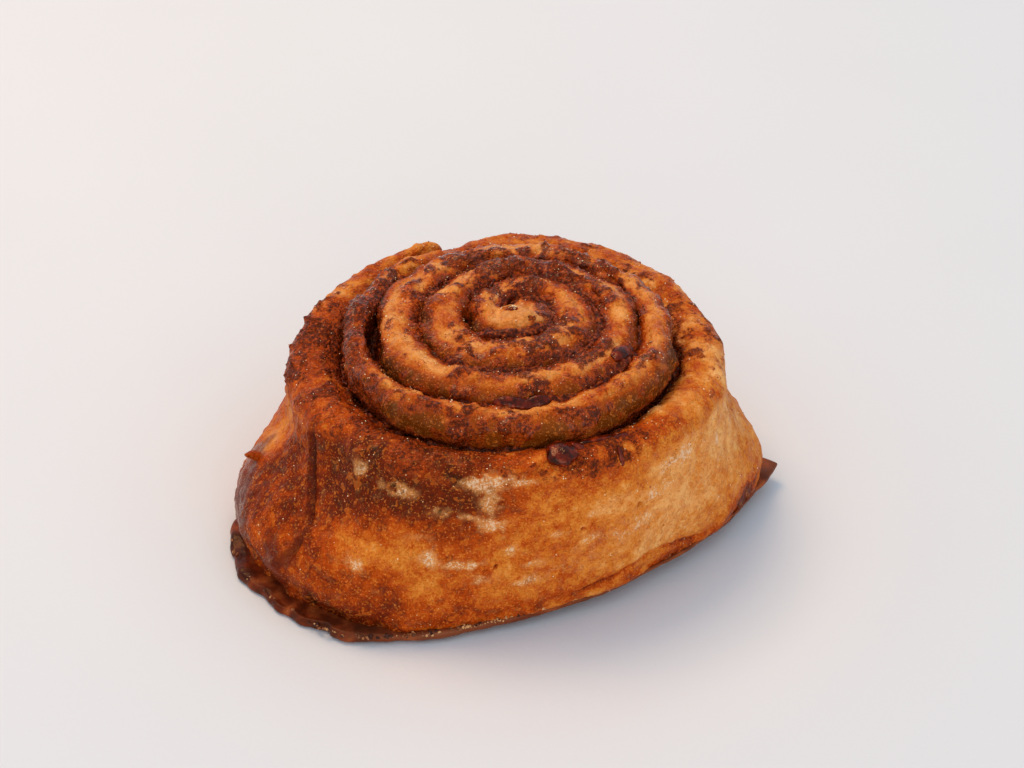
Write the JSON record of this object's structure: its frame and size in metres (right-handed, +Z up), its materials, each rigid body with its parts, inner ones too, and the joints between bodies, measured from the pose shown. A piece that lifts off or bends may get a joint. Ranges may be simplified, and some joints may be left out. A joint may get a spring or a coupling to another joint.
{
  "type": "cinnamon roll",
  "caption": "Free-standing baked cinnamon roll: a strip of dough wound round a ribbon of cinnamon filling, with a flared wall, on a thin foot of set caramel.",
  "frame": {"origin": "middle of the roll's box, on the surface that it rests on", "axes": "+Z up, through the spiral; -Y towards the long front of the wall; +X towards the caramel foot's pointed corner"},
  "size_m": [0.1106, 0.0898, 0.046],
  "materials": {
    "dough_crust": "baked golden brown crust, glossy where the syrup has run",
    "cinnamon_filling": "moist dark cinnamon and sugar paste",
    "caramel": "dark caramel, baked hard and glossy"
  },
  "bodies": {
    "root": {"dough": "dough_crust", "cinnamon_filling": "cinnamon_filling", "caramel_foot": "caramel"}
  },
  "joints": []
}
